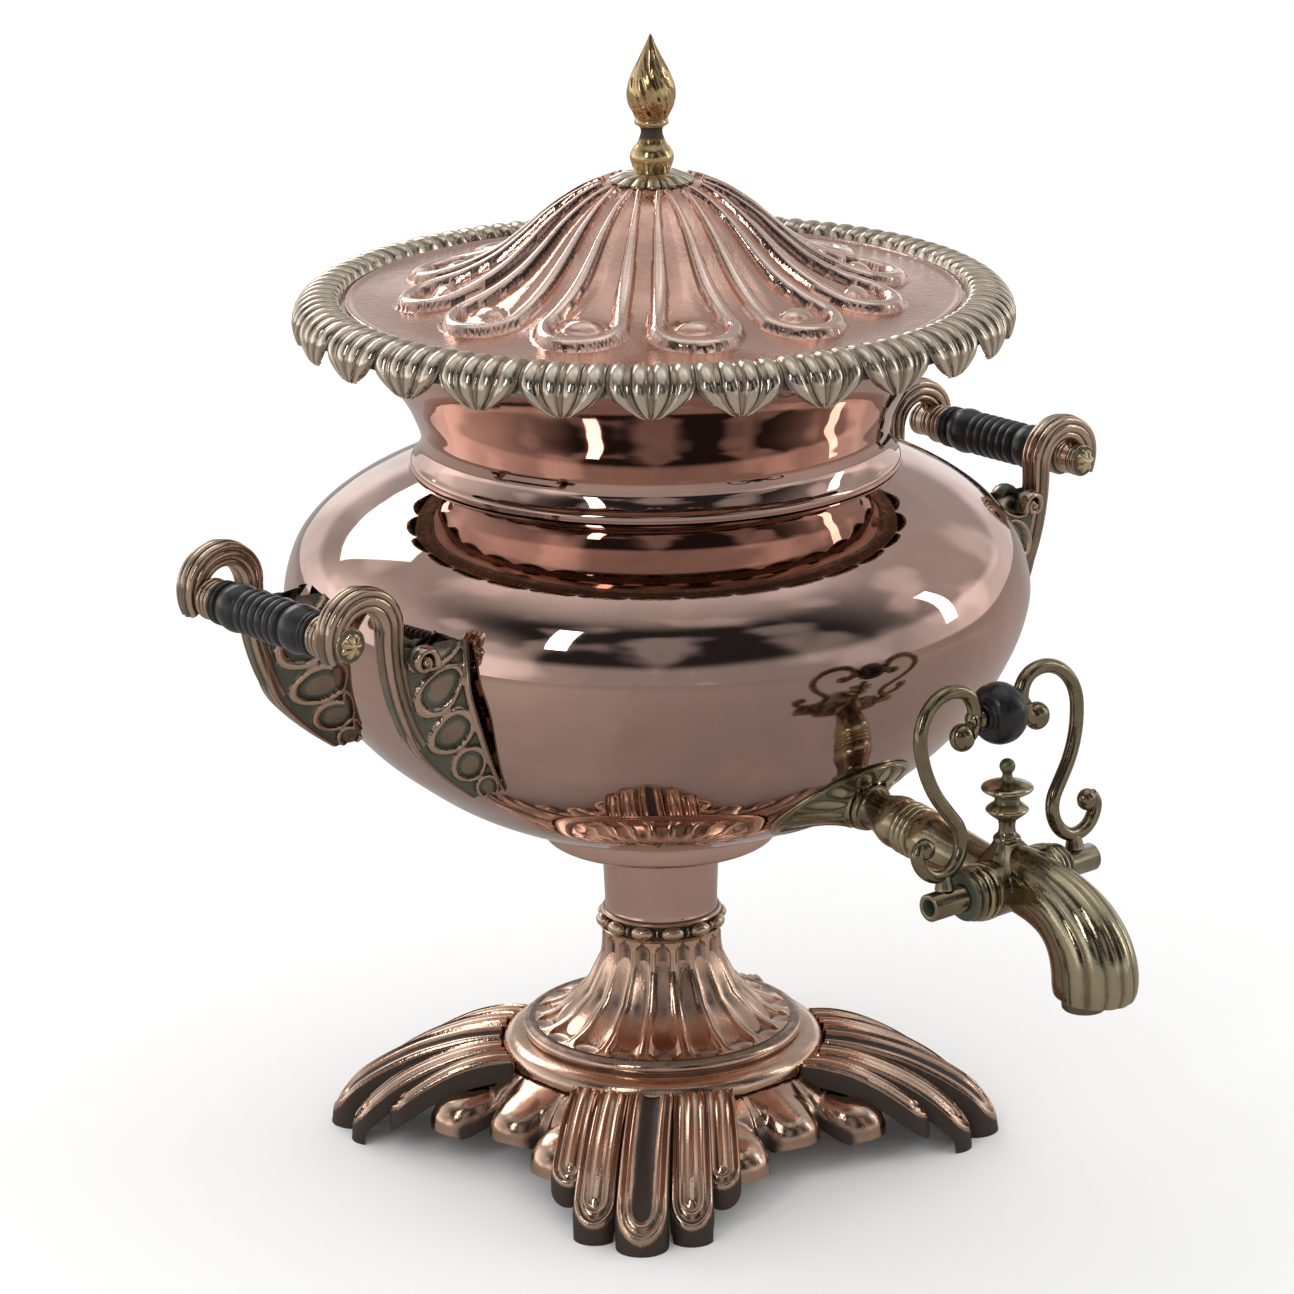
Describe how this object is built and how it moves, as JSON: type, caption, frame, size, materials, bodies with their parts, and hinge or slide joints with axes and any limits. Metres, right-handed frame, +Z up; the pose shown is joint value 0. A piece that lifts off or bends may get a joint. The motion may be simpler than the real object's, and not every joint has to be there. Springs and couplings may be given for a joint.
{
  "type": "samovar",
  "caption": "Low round copper tea urn on a lobed foot, with two ebony-gripped handles, a lift-off lid, a lyre-lever tap and a hot-iron heater inside.",
  "frame": {"origin": "centre of the foot on the table, under the axis of the body", "axes": "+Z up along the body's axis, the tap towards -Y, the handles at -X and +X"},
  "size_m": [0.3898, 0.396, 0.436],
  "materials": {
    "body_copper": "polished copper with a thin brown patina",
    "lid_copper": "bright polished copper",
    "foot_copper": "cast copper, worn bright on the edges and dark in the recesses",
    "collar_brass": "worn brass, dark between the beads",
    "rim_brass": "worn silvery brass with dark grooves",
    "rosette_brass": "worn silvery brass",
    "finial_brass": "polished brass with brown recesses",
    "tap_brass": "antique brass with green in the corners",
    "nozzle_bronze": "dark tarnished bronze",
    "bracket_bronze": "dark bronze with green verdigris in the recesses",
    "ebony": "turned ebony, worn to a dull shine",
    "tinned_lining": "dull tinned metal",
    "dark_iron": "dark iron"
  },
  "bodies": {
    "urn": {"bead_collar": "collar_brass", "body_dish": "body_copper", "bracket_left_front": "bracket_bronze", "bracket_left_rear": "bracket_bronze", "bracket_right_front": "bracket_bronze", "bracket_right_rear": "bracket_bronze", "clamp_plate": "dark_iron", "ferrules_left": "bracket_bronze", "ferrules_right": "bracket_bronze", "foot_plate": "foot_copper", "foot_ring": "foot_copper", "grip_left": "ebony", "grip_right": "ebony", "grip_rod_left": "bracket_bronze", "grip_rod_right": "bracket_bronze", "heater_sleeve": "tinned_lining", "pedestal_spigot": "body_copper", "pedestal_stem": "foot_copper", "rim_border": "rim_brass", "rim_ledge": "body_copper", "tap_back_nut": "tap_brass", "tap_body": "tap_brass", "tap_escutcheon": "tap_brass", "tap_gland_left": "tap_brass", "tap_gland_right": "tap_brass", "tap_nozzle": "nozzle_bronze", "tap_saddle": "tap_brass", "tap_shank": "tap_brass", "tie_rod": "dark_iron", "tie_rod_nut": "dark_iron", "tie_rod_washer": "dark_iron", "urn_body": "body_copper", "urn_neck": "body_copper"},
    "lid": {"lid_shell": "lid_copper", "lid_bezel": "lid_copper", "lid_rosette": "rosette_brass", "lid_finial": "finial_brass", "lid_washer": "tap_brass", "lid_nut": "tap_brass"},
    "lever": {"tap_plug": "tap_brass", "tap_lyre_left": "tap_brass", "tap_lyre_right": "tap_brass", "lever_ball": "ebony", "lever_pin": "tap_brass"},
    "screw": {"tap_top_screw": "tap_brass"},
    "hot_iron": {"heater_slug": "dark_iron", "slug_eye": "dark_iron"},
    "sleeve_cover": {"heater_cover": "tinned_lining"}
  },
  "joints": [
    {"name": "lid_lift", "type": "slide", "parent": "urn", "child": "lid", "axis": [0, 0, 1], "range_m": [0, 0.12]},
    {"name": "lever_turn", "type": "hinge", "parent": "urn", "child": "lever", "pos_m": [0, -0.1932, 0.1513], "axis": [1, 0, 0], "range_deg": [0, 65]},
    {"name": "screw_turn", "type": "hinge", "parent": "urn", "child": "screw", "pos_m": [0, -0.1908, 0.167], "axis": [0, 0, 1], "range_deg": [0, 360]},
    {"name": "cover_lift", "type": "slide", "parent": "urn", "child": "sleeve_cover", "axis": [0, 0, 1], "range_m": [0, 0.04]},
    {"name": "iron_lift", "type": "slide", "parent": "urn", "child": "hot_iron", "axis": [0, 0, 1], "range_m": [0, 0.005]}
  ]
}
